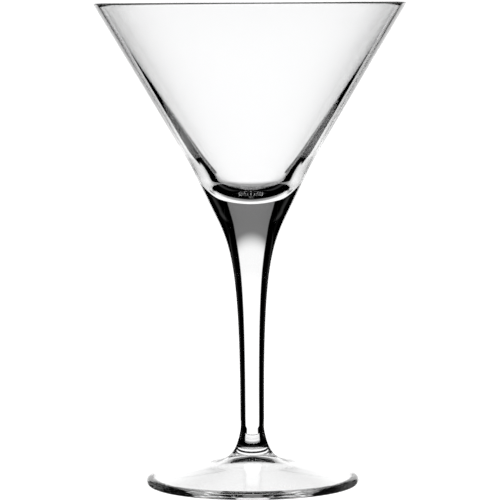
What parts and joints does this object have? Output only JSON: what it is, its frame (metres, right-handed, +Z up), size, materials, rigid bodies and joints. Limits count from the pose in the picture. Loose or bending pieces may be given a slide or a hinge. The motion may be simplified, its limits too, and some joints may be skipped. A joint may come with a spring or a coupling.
{
  "type": "martini glass",
  "caption": "Stemmed cocktail glass of clear glass: wide conical bowl with a round heavy base, solid tapering stem and round foot.",
  "frame": {"origin": "centre of the ring under the foot, on the surface that the glass stands on", "axes": "+Z up along the glass's own axis, out of the bowl's mouth; the glass is lathe-round, so X and Y are free"},
  "size_m": [0.1094, 0.1094, 0.17],
  "materials": {
    "clear_glass": "clear, fire-polished"
  },
  "bodies": {
    "root": {"bowl": "clear_glass", "stem": "clear_glass", "foot": "clear_glass"}
  },
  "joints": []
}
